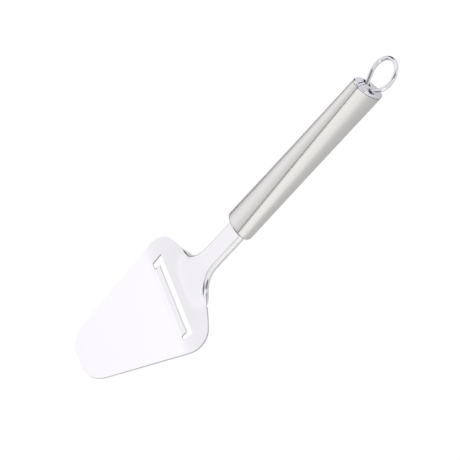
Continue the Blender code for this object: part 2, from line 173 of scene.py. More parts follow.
@dataclass(frozen=True)
class SteelFinish:
    """Stainless steel, worked to one finish."""

    name: str
    colour: str
    worn_colour: str
    roughness: float
    roughness_spread: float
    anisotropy: float
    grain: Grain
    line_spacing: float
    line_length: float
    line_height: float
    wave_size: float
    wave_height: float
    line_detail: float = 4.0
    line_breakup: float = 0.6
    wave_detail: float = 2.0

    def pattern_scale(self) -> Triple:
        """Work out how the line pattern is stretched.

        Returns:
            Its scale along x, y and z, in lines per metre.
        """
        fine = 1 / (self.line_spacing * MM)
        coarse = 1 / (self.line_length * MM)
        if self.grain is Grain.AROUND:
            return (fine, coarse, coarse)
        return (coarse, fine, coarse)

    def material(self) -> Material:
        """Build the finish.

        Returns:
            The material, with its worked lines in the colour, the roughness and the bump.
        """
        material, tree, shader = new_surface(self.name)
        shader.inputs["Metallic"].default_value = 1.0
        shader.inputs["Anisotropic"].default_value = self.anisotropy
        place = add_node(tree, "ShaderNodeTexCoord").outputs["Object"]
        stretch = add_node(tree, "ShaderNodeMapping", {"Vector": place, "Scale": self.pattern_scale()})
        lines = add_node(tree, "ShaderNodeTexNoise", {
            "Vector": stretch.outputs["Vector"], "Scale": 1.0, "Detail": self.line_detail,
            "Roughness": self.line_breakup}).outputs["Fac"]
        waves = add_node(tree, "ShaderNodeTexNoise", {
            "Vector": place, "Scale": 1 / (self.wave_size * MM), "Detail": self.wave_detail}).outputs["Fac"]
        shade = add_node(tree, "ShaderNodeMix", {
            "Factor": lines, "A": linear_colour(self.worn_colour), "B": linear_colour(self.colour)},
            data_type="RGBA")
        dull = add_node(tree, "ShaderNodeMapRange", {
            "Value": lines, "From Min": NOISE_LOW, "From Max": NOISE_HIGH,
            "To Min": self.roughness - self.roughness_spread,
            "To Max": self.roughness + self.roughness_spread})
        ripple = add_node(tree, "ShaderNodeBump", {
            "Height": waves, "Strength": 1.0, "Distance": self.wave_height * MM})
        scratch = add_node(tree, "ShaderNodeBump", {
            "Height": lines, "Strength": 1.0, "Distance": self.line_height * MM,
            "Normal": ripple.outputs["Normal"]})
        tree.links.new(shade.outputs["Result"], shader.inputs["Base Color"])
        tree.links.new(dull.outputs["Result"], shader.inputs["Roughness"])
        tree.links.new(scratch.outputs["Normal"], shader.inputs["Normal"])
        if self.grain is Grain.AROUND:
            along = add_node(tree, "ShaderNodeTangent", direction_type="UV_MAP", uv_map=BRUSHING_MAP)
            tree.links.new(along.outputs["Tangent"], shader.inputs["Tangent"])
        return material


@dataclass(frozen=True)
class NylonFinish:
    """Moulded natural nylon: milky, slightly mottled, with a fine spark-eroded skin."""

    name: str = "moulded natural nylon"
    colour: str = "DDDAD0"
    shade_colour: str = "D2CEC2"
    roughness: float = 0.5
    refraction: float = 1.53
    skin_size: float = 0.4
    skin_detail: float = 3.0
    skin_height: float = 0.02

    def material(self) -> Material:
        """Build the finish.

        Returns:
            The material, with its mottling and its skin.
        """
        material, tree, shader = new_surface(self.name)
        shader.inputs["Roughness"].default_value = self.roughness
        shader.inputs["IOR"].default_value = self.refraction
        place = add_node(tree, "ShaderNodeTexCoord").outputs["Object"]
        skin = add_node(tree, "ShaderNodeTexNoise", {
            "Vector": place, "Scale": 1 / (self.skin_size * MM), "Detail": self.skin_detail}).outputs["Fac"]
        shade = add_node(tree, "ShaderNodeMix", {
            "Factor": skin, "A": linear_colour(self.shade_colour), "B": linear_colour(self.colour)},
            data_type="RGBA")
        bump = add_node(tree, "ShaderNodeBump", {
            "Height": skin, "Strength": 1.0, "Distance": self.skin_height * MM})
        tree.links.new(shade.outputs["Result"], shader.inputs["Base Color"])
        tree.links.new(bump.outputs["Normal"], shader.inputs["Normal"])
        return material


# Stamped and polished sheet: nearly a mirror, with faint cross lines from the polishing wheel
POLISHED_SHEET = SteelFinish(
    name="polished stainless sheet", colour="F8F7F9", worn_colour="F2F1F4", roughness=0.16,
    roughness_spread=0.03, anisotropy=0.0, grain=Grain.ACROSS, line_spacing=0.5, line_length=30.0,
    line_height=0.0006, wave_size=22.0, wave_height=0.02)

# Blanked edge of the sheet: tumbled to take the burr off, and duller and rougher than the faces; its darker
# colour is painted shade for the dark line along the sheet's edges
BLANKED_EDGE_WITH_PAINTED_SHADE = SteelFinish(
    name="blanked stainless edge with painted shade", colour="D8D7DA", worn_colour="C6C5C9", roughness=0.38,
    roughness_spread=0.06, anisotropy=0.0, grain=Grain.NONE, line_spacing=0.3, line_length=1.5,
    line_height=0.002, wave_size=5.0, wave_height=0.004)

# Satin tube, belt-ground around its axis: it mirrors across the lines and blurs along the handle
SATIN_TUBE = SteelFinish(
    name="satin stainless tube", colour="EDEBE9", worn_colour="E5E3E1", roughness=0.30,
    roughness_spread=0.02, anisotropy=0.85, grain=Grain.AROUND, line_spacing=0.35, line_length=9.0,
    line_height=0.0003, wave_size=18.0, wave_height=0.012)

# Buffed cap and wire: a mirror with the slight unevenness of buffing
MIRROR_STEEL = SteelFinish(
    name="mirror buffed stainless", colour="EDECF2", worn_colour="E6E5EC", roughness=0.06,
    roughness_spread=0.02, anisotropy=0.0, grain=Grain.NONE, line_spacing=0.8, line_length=3.0,
    line_height=0.0005, wave_size=6.0, wave_height=0.006)


# Drawing with bmesh


def draw_line(bm: BMesh, start: BMVert, point: Vector) -> BMVert:
    """Draw a straight edge from a vertex.

    Args:
        bm: the mesh.
        start: the vertex that the edge leaves.
        point: where the edge ends.

    Returns:
        The vertex at the edge's end.
    """
    drawn = bmesh.ops.extrude_vert_indiv(bm, verts=[start])
    drawn["verts"][0].co = point
    return drawn["verts"][0]


def draw_stroke(bm: BMesh, start: BMVert, corners: list[Triple], arc_step_deg: float) -> BMVert:
    """Draw a chain of straight edges whose inner corners are arcs.

    Args:
        bm: the mesh.
        start: the vertex that the chain leaves.
        corners: the corners as x, y and radius; the last one is the chain's end.
        arc_step_deg: the largest turn between two vertices of an arc.

    Returns:
        The vertex at the chain's end.
    """
    pen = start
    places = [start.co.copy()] + [Vector((x, y, 0.0)) for x, y, _ in corners]
    for before, here, after, (_, _, radius) in zip(places, places[1:], places[2:], corners):
        back, ahead = (before - here).normalized(), (after - here).normalized()
        half = back.angle(ahead) / 2
        if radius <= 0.0:
            pen = draw_line(bm, pen, here)
            continue
        middle = here + (back + ahead).normalized() * (radius / math.sin(half))
        pen = draw_line(bm, pen, here + back * (radius / math.tan(half)))
        turn = math.pi - 2 * half
        side = -1.0 if back.cross(ahead).z > 0 else 1.0
        arc = bmesh.ops.spin(bm, geom=[pen], cent=middle, axis=(0.0, 0.0, side), angle=turn,
                             steps=max(2, round(math.degrees(turn) / arc_step_deg)))
        pen = next(item for item in arc["geom_last"] if isinstance(item, BMVert))
    return draw_line(bm, pen, places[-1])


def draw_ring(bm: BMesh, sides: int, radius: float, place: Matrix) -> list[BMEdge]:
    """Draw a circle in an empty mesh, and give its edges."""
    bmesh.ops.create_circle(bm, segments=sides, radius=radius, matrix=place)
    return bm.edges[:]


def extrude_row(bm: BMesh, row: list[BMEdge]) -> tuple[list[BMVert], list[BMEdge]]:
    """Extrude a row of edges without moving it.

    Args:
        bm: the mesh.
        row: the edges.

    Returns:
        The new row's vertices and edges.
    """
    grown = bmesh.ops.extrude_edge_only(bm, edges=row)["geom"]
    verts = [item for item in grown if isinstance(item, BMVert)]
    new = set(verts)
    return verts, [item for item in grown if isinstance(item, BMEdge) and new.issuperset(item.verts)]


def cut_along(bm: BMesh, axis: int, places: list[float]) -> None:
    """Cut every face of a mesh along planes.

    Args:
        bm: the mesh.
        axis: 0 for planes across x, 1 for planes across y.
        places: where the planes cross that axis.
    """
    normal = Vector((0.0, 0.0, 0.0))
    normal[axis] = 1.0
    for place in places:
        geometry = bm.verts[:] + bm.edges[:] + bm.faces[:]
        bmesh.ops.bisect_plane(bm, geom=geometry, dist=MERGE, plane_co=normal * place, plane_no=normal)


def on_chain(point: Vector, chain: list[Vector]) -> bool:
    """Whether a point lies on a chain of straight stretches."""
    detours = [(point - a).length + (point - b).length - (b - a).length for a, b in zip(chain, chain[1:])]
    return min(detours) < MERGE


def spread(start: float, end: float, count: int) -> list[float]:
    """Evenly spaced values from start to end, both included."""
    return [start + (end - start) * i / (count - 1) for i in range(count)]


def smooth_step(value: float, low: float, high: float) -> float:
    """0 below low, 1 above high, and a smooth change between."""
    share = min(1.0, max(0.0, (value - low) / (high - low)))
    return share * share * (3 - 2 * share)


def add_object(name: str, data: Any) -> Object:
    """Put a new object into the scene, at the origin.

    Args:
        name: the object's name.
        data: its mesh or its camera.

    Returns:
        The object.
    """
    item = bpy.data.objects.new(name, data)
    bpy.context.scene.collection.objects.link(item)
    return item


def mesh_object(name: str, bm: BMesh) -> Object:
    """Put a mesh into the scene as an object.

    Args:
        name: the object's name.
        bm: the mesh; it is freed.

    Returns:
        The object.
    """
    mesh = bpy.data.meshes.new(name)
    bm.to_mesh(mesh)
    bm.free()
    return add_object(name, mesh)


def shaded_object(name: str, bm: BMesh, frame: Matrix, sharp_deg: float) -> Object:
    """Lay a mesh in its frame and make a smooth object of it.

    Args:
        name: the piece's name.
        bm: the mesh, in millimetres; it is freed.
        frame: where the mesh's frame lies.
        sharp_deg: edges that turn more than this stay sharp.

    Returns:
        The object.
    """
    bmesh.ops.transform(bm, matrix=frame, verts=bm.verts)
    item = mesh_object(name, bm)
    item.data.shade_smooth()
    item.data.set_sharp_from_angle(angle=math.radians(sharp_deg))
    return item


def round_edges(item: Object, width: float) -> BevelModifier:
    """Round a piece's sharp edges, and shade its flats as flats.

    Args:
        item: the piece.
        width: the rounding's width in millimetres.

    Returns:
        The modifier that rounds them.
    """
    rounding = item.modifiers.new("edge break", "BEVEL")
    rounding.width = width * MM
    rounding.segments = ROUNDED_EDGE_FACES
    rounding.limit_method = "ANGLE"
    rounding.angle_limit = math.radians(ROUNDED_EDGE_DEG)
    rounding.miter_outer = "MITER_ARC"
    flats = item.modifiers.new("flat shading", "WEIGHTED_NORMAL")
    flats.keep_sharp = True
    return rounding


def dress(item: Object, *finishes: Material) -> None:
    """Give a piece its materials.

    Args:
        item: the piece.
        finishes: its materials, first that of its faces.
    """
    item.data.materials.clear()
    for finish in finishes:
        item.data.materials.append(finish)


def hand_over(item: Object, node: str, body: str, slot: str, *finishes: Material) -> None:
    """Dress a piece and let it stand for its CAD node.

    Args:
        item: the piece.
        node: the CAD node that it replaces.
        body: the CAD body that it moves with.
        slot: the record's material slot; it is not used.
        finishes: its materials, first that of its faces.
    """
    dress(item, *finishes)
    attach(item, body)
    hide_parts(node)
    LOG.info("%s: %d faces", item.name, len(item.data.polygons))


# Blade


@dataclass
class TurnedEdge:
    """The edge of the blade that is turned down, from the shoulder along the neck, on one side."""

    path: list[Vector]
    curves: list[tuple[float, float]]
    growth_length: float
    steps: int

    def sides(self) -> list[Vector]:
        """Find which way is outward along the path.

        Returns:
            The outward sides at the path's points.
        """
        stretches = [(b - a).normalized() for a, b in zip(self.path, self.path[1:])]
        across = [Vector((-s.y, s.x, 0.0)) for s in stretches]
        middles = [(a + b).normalized() for a, b in zip(across, across[1:])]
        return [across[0]] + middles + [across[-1]]

    def locate(self, point: Vector) -> tuple[float, Vector]:
        """Find the place on the path that lies nearest to a point.

        Args:
            point: a point in the blade's plan.

        Returns:
            The distance walked along the path to that place, and the path's outward side there.
        """
        sides = self.sides()
        best = (math.inf, 0.0, sides[0])
        walked = 0.0
        for i, (start, end) in enumerate(zip(self.path, self.path[1:])):
            along = end - start
            share = min(1.0, max(0.0, (point - start).dot(along) / along.length_squared))
            miss = (start + along * share - point).length
            if miss < best[0]:
                best = (miss, walked + along.length * share, sides[i].lerp(sides[i + 1], share))
            walked += along.length
        return best[1], best[2].normalized()

    def profile(self, walked: float) -> list[tuple[float, float]]:
        """Follow the turned edge from its bend line to its end.

        Args:
            walked: the distance along the path.

        Returns:
            Points as distances outward and down from the bend line.
        """
        share = 1 - max(0.0, 1 - walked / self.growth_length) ** 2
        points = []
        outward = down = turned = 0.0
        for radius, angle in self.curves:
            step = angle / self.steps
            chord = 2 * radius * share * math.sin(step / 2)
            for _ in range(self.steps):
                outward += chord * math.cos(turned + step / 2)
                down += chord * math.sin(turned + step / 2)
                turned += step
                points.append((outward, down))
        return points

    def drawn_in(self, point: Vector) -> Vector:
        """The place of the bend line beside a point of the path, so that the turned edge ends on the path."""
        walked, outward = self.locate(point)
        return point - outward * self.profile(walked)[-1][0]


@dataclass
class Blade:
    """One pressed sheet: flared flat, slot and dropped lip, rib, channel neck and tang."""

    sheet: float = 1.0
    tip_half_width: float = 17.7
    tip_corner_radius: float = 19.0
    side_flare_deg: float = 22.6
    shoulder_x: float = 71.9
    shoulder_radius: float = 10.8
    back_edge_deg: float = 71.0
    neck_half_width: float = 8.0
    neck_fillet_radius: float = 13.0
    slot_rear_x: float = 66.6
    slot_half_length: float = 32.4
    slot_gap: float = 3.3
    lip_length: float = 3.4
    lip_drop: float = 1.7
    lip_end_notch: float = 5.4
    slot_skew: float = 2.4
    notch_radius: float = 0.6
    near_notch_radius: float = 1.2
    lip_edge_share: float = 0.3
    pitch_deg: float = 16.6
    bend_x: float = 61.4
    rise_length: float = 25.0
    wing_half_width: float = 36.0
    wing_tilt_deg: float = 4.0
    wing_bend_x: float = 57.0
    flange_bend_radius: float = 1.8
    flange_bend_deg: float = 55.0
    flange_roll_radius: float = 4.6
    flange_roll_deg: float = 35.0
    flange_start_half_width: float = 24.0
    flange_growth_length: float = 10.0
    neck_reach: float = 58.4
    tang_length: float = 24.0
    mount_x: float = 30.0
    edge_break: float = 0.40
    arc_step_deg: float = 3.0
    notch_step_deg: float = 15.0
    flat_deg: float = 1.0
    sharp_deg: float = 30.0
    plan_step: float = 1.0
    back_edge_points: int = 12
    neck_cuts: int = 4
    flange_steps: int = 6

    @property
    def pitch(self) -> float:
        """The neck's slope as an angle."""
        return math.radians(self.pitch_deg)

    @property
    def shoulder_y(self) -> float:
        """Where the shoulder's corner would lie without its rounding."""
        return self.tip_half_width + self.shoulder_x * math.tan(math.radians(self.side_flare_deg))

    @property
    def lip_edge_x(self) -> float:
        """Where the lip ends at the slot."""
        return self.slot_rear_x - self.slot_gap

    @property
    def lip_root_x(self) -> float:
        """Where the lip starts to bend."""
        return self.lip_edge_x - self.lip_length

    @property
    def lip_half_length(self) -> float:
        """Half of the lip's length across the blade."""
        return self.slot_half_length - self.lip_end_notch

    @property
    def rise_end_x(self) -> float:
        """Where the rib has become the straight neck."""
        return self.slot_rear_x + self.rise_length

    @property
    def handle_front_x(self) -> float:
        """Where the neck enters the handle, in the plan."""
        return self.bend_x + self.neck_reach * math.cos(self.pitch)

    @property
    def neck_end_x(self) -> float:
        """Where the tang ends, in the plan."""
        return self.handle_front_x + self.tang_length * math.cos(self.pitch)

    @property
    def flange_curves(self) -> list[tuple[float, float]]:
        """Radius and angle of the bend and of the roll below it."""
        return [(self.flange_bend_radius, math.radians(self.flange_bend_deg)),
                (self.flange_roll_radius, math.radians(self.flange_roll_deg))]

    @property
    def flange_depth(self) -> float:
        """Add up the depth of the bend and the roll.

        Returns:
            How far the turned edge reaches below the neck's upper face.
        """
        depth = turned = 0.0
        for radius, angle in self.flange_curves:
            depth += radius * (math.cos(turned) - math.cos(turned + angle))
            turned += angle
        return depth

    def back_edge_x(self, y: float) -> float:
        """Where the back edge of the flat lies at a distance from the axis."""
        return self.shoulder_x + (self.shoulder_y - y) / math.tan(math.radians(self.back_edge_deg))

    def wing_height(self, x: float) -> float:
        """Follow the upper face at the shoulders, which are bent up a little behind the slot.

        Args:
            x: the distance from the tip.

        Returns:
            The face's height there.
        """
        slope = math.tan(math.radians(self.wing_tilt_deg))
        bend = self.slot_rear_x - self.wing_bend_x
        past = max(0.0, x - self.wing_bend_x)
        return slope * past * past / (2 * bend) if past < bend else slope * (past - bend / 2)

    def neck_height(self, x: float) -> float:
        """Follow the upper face on the centre line, behind the slot.

        Args:
            x: the distance from the tip.

        Returns:
            The face's height there.
        """
        slope = math.tan(self.pitch)
        if x >= self.rise_end_x:
            return (x - self.bend_x) * slope
        share = (x - self.slot_rear_x) / self.rise_length
        rise = (self.rise_end_x - self.bend_x) * slope - self.wing_height(self.rise_end_x)
        steeper = (slope - math.tan(math.radians(self.wing_tilt_deg))) * self.rise_length
        return self.wing_height(x) + share * share * ((3 - 2 * share) * rise + (share - 1) * steeper)

    def height(self, x: float, y: float) -> float:
        """Press the sheet's upper face at a place of the plan.

        Args:
            x: the distance from the tip.
            y: the distance from the axis.

        Returns:
            The face's height there.
        """
        wing = self.wing_height(x)
        if x > self.slot_rear_x:
            fade = smooth_step(abs(y), self.neck_half_width, self.wing_half_width)
            return self.neck_height(x) * (1 - fade) + wing * fade
        lip_long = self.lip_root_x < x < self.lip_edge_x + self.slot_gap / 2
        lip_wide = abs(y) < self.lip_half_length + self.lip_end_notch / 2
        if lip_long and lip_wide:
            return wing - self.lip_drop * ((x - self.lip_root_x) / self.lip_length) ** 2
        return wing

    def draw_outline(self, bm: BMesh) -> TurnedEdge:
        """Draw the blank's edge, with its turned stretch drawn in to the bend line.

        Args:
            bm: an empty mesh, which gets the closed outline.

        Returns:
            The turned edge on the positive side.
        """
        start_y = self.flange_start_half_width
        pen = draw_stroke(bm, bm.verts.new((0.0, 0.0, 0.0)), [
            (0.0, self.tip_half_width, self.tip_corner_radius),
            (self.shoulder_x, self.shoulder_y, self.shoulder_radius),
            (self.back_edge_x(start_y), start_y, 0.0)], self.arc_step_deg)
        front = set(bm.verts)
        turned = [pen]
        fillet = self.neck_fillet_radius * (1 - math.cos(math.radians(self.back_edge_deg)))
        for y in spread(start_y, self.neck_half_width + fillet, self.back_edge_points)[1:-1]:
            turned.append(draw_line(bm, turned[-1], Vector((self.back_edge_x(y), y, 0.0))))
        known = set(bm.verts)
        end = draw_stroke(bm, turned[-1], [
            (self.back_edge_x(self.neck_half_width), self.neck_half_width, self.neck_fillet_radius),
            (self.neck_end_x, self.neck_half_width, 0.0)], self.arc_step_deg)
        turned += sorted(set(bm.verts) - known, key=lambda v: v.co.x)
        path = [v.co.copy() for v in turned]
        edge = TurnedEdge(path, self.flange_curves, self.flange_growth_length, self.flange_steps)
        for vert in turned:
            if vert not in front:
                vert.co = edge.drawn_in(vert.co)
        draw_line(bm, end, Vector((self.neck_end_x, 0.0, 0.0)))
        bmesh.ops.mirror(bm, geom=bm.verts[:] + bm.edges[:], axis="Y", merge_dist=MERGE)
        return edge

    def draw_slot(self, bm: BMesh) -> None:
        """Draw the cutting slot's edge, with the notches that free the lip's ends.

        The lip's ends are cut askew, and so is the far notch, which leaves the near notch small.

        Args:
            bm: the mesh that holds the outline.
        """
        known = set(bm.verts)
        pen = bm.verts.new((self.slot_rear_x, 0.0, 0.0))
        half = self.slot_half_length
        for side, deep, radius in ((1, half - self.slot_skew, self.notch_radius),
                                   (-1, half, self.near_notch_radius)):
            draw_stroke(bm, pen, [
                (self.slot_rear_x, side * half, radius),
                (self.lip_root_x, side * deep, radius),
                (self.lip_root_x, side * self.lip_half_length - self.slot_skew, 0.0),
                (self.lip_edge_x, side * self.lip_half_length, 0.0),
                (self.lip_edge_x, 0.0, 0.0)], self.notch_step_deg)
        drawn = [v for v in bm.verts if v not in known]
        bmesh.ops.remove_doubles(bm, verts=drawn, dist=MERGE)

    def cut_plan(self, bm: BMesh) -> None:
        """Cut the filled blank into small faces where it will be pressed.

        Args:
            bm: the flat blank.
        """
        rib = math.ceil(self.rise_length / self.plan_step)
        wide = math.ceil((self.wing_half_width - self.neck_half_width) / self.plan_step)
        lip = math.ceil(self.lip_length / self.plan_step * 2)
        cut_along(bm, 0, spread(self.slot_rear_x, self.rise_end_x, rib)[1:])
        cut_along(bm, 0, spread(self.wing_bend_x, self.lip_root_x, lip)[:-1])
        cut_along(bm, 0, spread(self.lip_root_x, self.slot_rear_x, 2 * lip)[:-1])
        cut_along(bm, 0, spread(self.rise_end_x, self.handle_front_x, rib // 2)[1:])
        for side in (-1, 1):
            cut_along(bm, 1, [side * y for y in spread(self.neck_half_width, self.wing_half_width, wide)])
            cut_along(bm, 1, [side * y for y in spread(0.0, self.neck_half_width, self.neck_cuts)[1:-1]])

    def turn_down(self, bm: BMesh, edge: TurnedEdge, side: int) -> None:
        """Extrude the blank's edge round its bend and down, on one side.

        Args:
            bm: the flat blank.
            edge: the turned edge of the positive side.
            side: 1 or -1.
        """
        bend = [edge.drawn_in(p) for p in edge.path]
        plan = {v: Vector((v.co.x, v.co.y * side, 0.0)) for v in bm.verts}
        row = [e for e in bm.edges if e.is_boundary and all(on_chain(plan[v], bend) for v in e.verts)]
        column = bm.verts.layers.int["column"]
        columns: list[list[Vector]] = []
        for vert in dict.fromkeys(v for e in row for v in e.verts):
            vert[column] = len(columns)
            columns.append(self.edge_points(plan[vert], edge))
        for step in range(self.flange_steps * len(edge.curves)):
            verts, row = extrude_row(bm, row)
            for vert in verts:
                spot = columns[vert[column]][step]
                vert.co = (spot.x, spot.y * side, spot.z)

    def edge_points(self, point: Vector, edge: TurnedEdge) -> list[Vector]:
        """Points round the bend and down the turned edge, beside a point of the bend line.

        Args:
            point: a point of the bend line on the positive side.
            edge: the turned edge.

        Returns:
            The points, from the bend line down.
        """
        walked, outward = edge.locate(point)
        height = self.height(point.x, point.y)
        slope = (self.height(point.x + self.sheet, point.y) - height) / self.sheet
        down = Vector((slope, 0.0, -1.0)).normalized()
        out = Vector((outward.x, outward.y, slope * outward.x)).normalized()
        base = Vector((point.x, point.y, height))
        return [base + (out * reach + down * depth) for reach, depth in edge.profile(walked)]

    def build(self, frame: Matrix) -> Object:
        """Press the blade.

        Args:
            frame: where the blade's frame lies.

        Returns:
            The piece.
        """
        bm = bmesh.new()
        bm.verts.layers.int.new("column")
        edge = self.draw_outline(bm)
        self.draw_slot(bm)
        bmesh.ops.triangle_fill(bm, edges=bm.edges[:], use_beauty=True)
        bmesh.ops.dissolve_limit(bm, angle_limit=math.radians(self.flat_deg), verts=[], edges=bm.edges[:])
        self.cut_plan(bm)
        blank = bm.verts[:]
        for side in (1, -1):
            self.turn_down(bm, edge, side)
        for vert in blank:
            vert.co.z = self.height(vert.co.x, vert.co.y)
        bmesh.ops.remove_doubles(bm, verts=bm.verts[:], dist=MERGE)
        bmesh.ops.recalc_face_normals(bm, faces=bm.faces[:])
        if sum(face.normal.z for face in bm.faces) < 0:
            bmesh.ops.reverse_faces(bm, faces=bm.faces[:])
        edge_height = self.wing_height(self.lip_edge_x) - self.lip_drop + MERGE
        bm.verts.index_update()
        lip_edge = [v.index for v in bm.verts if v.co.z < edge_height and v.co.x < self.slot_rear_x]
        item = shaded_object("polished_blade", bm, frame, self.sharp_deg)
        full = item.vertex_groups.new(name="full sheet")
        full.add(list(range(len(item.data.vertices))), 1.0, "REPLACE")
        full.add(lip_edge, 0.0, "REPLACE")
        wall = item.modifiers.new("sheet", "SOLIDIFY")
        wall.thickness = self.sheet * MM
        wall.offset = -1.0
        wall.use_even_offset = True
        wall.vertex_group = full.name
        wall.thickness_vertex_group = self.lip_edge_share
        wall.material_offset_rim = CUT_EDGE_SLOT
        round_edges(item, self.edge_break).material = CUT_EDGE_SLOT
        return item


# Handle


@dataclass
class Handle:
    """The hollow tube, a lying oval at the blade and a standing one at the loop, and its end cap."""

    length: float = 111.6
    front_width: float = 21.6
    front_height: float = 14.8
    rear_width: float = 14.4
    rear_height: float = 20.2
    wall: float = 0.8
    front_round: float = 2.2
    axis_below_neck_top: float = 1.65
    end_cap_length: float = 1.2
    end_cap_round: float = 1.0
    cap_face: float = 0.8
    cap_skirt: float = 5.0
    cap_wall: float = 0.6
    seat_gap: float = 0.3
    edge_break: float = 0.12
    sharp_deg: float = 40.0
    sides: int = 160
    tube_stations: int = 60
    round_steps: int = 9
    corner_steps: int = 6

    def half_sizes(self, x: float, inset: float) -> tuple[float, float]:
        """Size the oval at one place of the handle.

        Args:
            x: the distance from the front.
            inset: how far the oval is drawn in.

        Returns:
            Its half width and half height.
        """
        share = x / self.length
        width = self.front_width + (self.rear_width - self.front_width) * share
        height = self.front_height + (self.rear_height - self.front_height) * share
        return width / 2 - inset, height / 2 - inset

    def loft(self, bm: BMesh, stations: list[Station]) -> tuple[list[BMEdge], list[BMEdge]]:
        """Extrude an oval ring through stations.

        Args:
            bm: the mesh.
            stations: distances from the front, each with how far the oval is drawn in.

        Returns:
            The edges of the first and of the last ring.
        """
        x, inset = stations[0]
        half_y, half_z = self.half_sizes(x, inset)
        facing = Matrix.Rotation(math.pi / 2, 4, "Y")
        stretch = Matrix.Translation((x, 0.0, 0.0)) @ Matrix.Diagonal((1.0, half_y, half_z, 1.0))
        first = row = draw_ring(bm, self.sides, 1.0, stretch @ facing)
        for (x0, inset0), (x1, inset1) in zip(stations, stations[1:]):
            verts, row = extrude_row(bm, row)
            old_y, old_z = self.half_sizes(x0, inset0)
            new_y, new_z = self.half_sizes(x1, inset1)
            bmesh.ops.scale(bm, vec=(1.0, new_y / old_y, new_z / old_z), verts=verts)
            bmesh.ops.translate(bm, vec=(x1 - x0, 0.0, 0.0), verts=verts)
        return first, row

    def map_brushing(self, bm: BMesh) -> None:
        """Give faces a UV map whose u runs along the handle and whose v runs around it.

        Args:
            bm: the mesh, in the handle's frame.
        """
        layer = bm.loops.layers.uv.new(BRUSHING_MAP)
        for face in bm.faces:
            middle = face.calc_center_median()
            base = math.atan2(middle.y, middle.z)
            for loop in face.loops:
                turn = math.atan2(loop.vert.co.y, loop.vert.co.z) - base
                turn = (turn + math.pi) % (2 * math.pi) - math.pi
                loop[layer].uv = (loop.vert.co.x / self.length, (base + turn) / (2 * math.pi))

    def round_stations(self, face_x: float, inward: float, edge_round: float) -> list[Station]:
        """Stations over a round edge, from a flat end to the side.

        Args:
            face_x: where the flat end lies.
            inward: 1 or -1, the way into the handle.
            edge_round: the edge's radius.

        Returns:
            Distances from the handle's front, each with how far the oval is drawn in.
        """
        stations = []
        for angle in spread(0.0, math.pi / 2, self.round_steps):
            depth = edge_round * (1 - math.cos(angle))
            stations.append((face_x + inward * depth, edge_round * (1 - math.sin(angle))))
        return stations

    def skin(self, name: str, stations: list[Station], cutters: list[Object], frame: Matrix) -> Object:
        """Loft a closed skin and cut its openings.

        Args:
            name: the piece's name.
            stations: the skin's stations.
            cutters: objects to cut out of it; they are removed.
            frame: where the handle's frame lies.

        Returns:
            The piece.
        """
        bm = bmesh.new()
        for ring in self.loft(bm, stations):
            bmesh.ops.edgeloop_fill(bm, edges=ring)
        bmesh.ops.recalc_face_normals(bm, faces=bm.faces[:])
        self.map_brushing(bm)
        item = shaded_object(name, bm, frame, self.sharp_deg)
        for cutter in cutters:
            cut = item.modifiers.new("opening", "BOOLEAN")
            cut.operation = "DIFFERENCE"
            cut.solver = "EXACT"
            cut.object = cutter
        graph = bpy.context.evaluated_depsgraph_get()
        finished = bpy.data.meshes.new_from_object(item.evaluated_get(graph))
        item.modifiers.clear()
        item.data = finished
        for cutter in cutters:
            bpy.data.objects.remove(cutter, do_unlink=True)
        finished.set_sharp_from_angle(angle=math.radians(self.sharp_deg))
        round_edges(item, self.edge_break)
        return item

    def cutter(self, name: str, low: Triple, high: Triple, corner: float, frame: Matrix) -> Object:
        """A block with rounded long edges, to cut with.

        Args:
            name: the block's name.
            low: its lowest corner.
            high: its highest corner.
            corner: the radius of the edges along x.
            frame: where the handle's frame lies.

        Returns:
            The block.
        """
        bm = bmesh.new()
        size = Vector(high) - Vector(low)
        middle = (Vector(high) + Vector(low)) / 2
        bmesh.ops.create_cube(bm, size=1.0, matrix=Matrix.Translation(middle) @ Matrix.Diagonal((*size, 1.0)))
        along = [e for e in bm.edges if abs(e.verts[0].co.x - e.verts[1].co.x) > MERGE]
        bmesh.ops.bevel(bm, geom=along, offset=corner, affect="EDGES", segments=self.corner_steps,
                        profile=0.5, material=-1)
        return shaded_object(name, bm, frame, self.sharp_deg)

    def build_tube(self, blade: Blade, frame: Matrix) -> Object:
        """Draw the tube: closed round the neck at the blade, open for its cap at the loop.

        Args:
            blade: the blade whose neck passes through the closed end.
            frame: where the handle's frame lies.

        Returns:
            The piece.
        """
        end = self.length - self.end_cap_length - self.seat_gap
        straight = spread(self.front_round, end, self.tube_stations)[1:]
        outside = self.round_stations(0.0, 1.0, self.front_round) + [(x, 0.0) for x in straight]
        inner = self.round_stations(self.wall, 1.0, self.front_round - self.wall)
        inside = [(x, inset + self.wall) for x, inset in inner] + [(x, self.wall) for x in straight]
        half = blade.neck_half_width + self.seat_gap
        top = self.axis_below_neck_top + self.seat_gap
        bottom = self.axis_below_neck_top - blade.flange_depth - self.seat_gap
        hole = self.cutter("neck_hole", (-self.wall, -half, bottom), (self.front_round, half, top),
                           blade.flange_bend_radius / 2, frame)
        return self.skin("satin_tube", outside + inside[::-1], [hole], frame)

    def build_end_cap(self, loop: "HangingLoop", frame: Matrix) -> Object:
        """Draw the loop end's cap, with an opening each side of its bridge.

        Args:
            loop: the loop that is hooked behind the bridge.
            frame: where the handle's frame lies.

        Returns:
            The piece.
        """
        inner, outer, reach = loop.opening(self.cap_face)
        holes = []
        for side in (1, -1):
            near, far = sorted((side * inner, side * outer))
            holes.append(self.cutter("loop_opening", (self.length - 2 * self.cap_face, near, -reach),
                                     (self.length + self.cap_face, far, reach), loop.opening_corner, frame))
        rim = self.length - self.end_cap_length
        skirt = rim - self.cap_skirt
        plug = self.wall + self.seat_gap
        hollow = plug + self.cap_wall
        stations = self.round_stations(self.length, -1.0, self.end_cap_round)
        stations += [(rim, 0.0), (rim, plug), (skirt, plug), (skirt, hollow)]
        stations.append((self.length - self.cap_face, hollow))
        return self.skin("mirror_end_cap", stations, holes, frame)


# Loop


